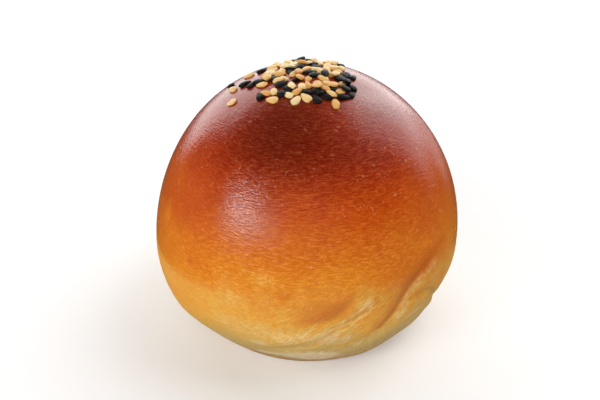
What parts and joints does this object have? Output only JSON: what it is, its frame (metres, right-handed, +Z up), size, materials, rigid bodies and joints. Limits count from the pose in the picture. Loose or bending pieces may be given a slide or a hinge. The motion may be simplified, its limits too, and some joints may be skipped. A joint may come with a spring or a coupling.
{
  "type": "bread roll",
  "caption": "Tall round egg-washed bread roll with a glossy brown crown, a pale folded foot, and toasted and black sesame on top. It stands on its flat base.",
  "frame": {"origin": "middle of the roll's box, at the height of the surface it stands on", "axes": "+Z up through the seeded crown; -Y is the front, where the pulled folds meet at the lower right"},
  "size_m": [0.076, 0.0762, 0.0661],
  "materials": {
    "baked_crust": "egg-washed baked crust, glossy brown on the crown and matt pale gold at the foot"
  },
  "bodies": {
    "root": {"bread_roll": "baked_crust"}
  },
  "joints": []
}
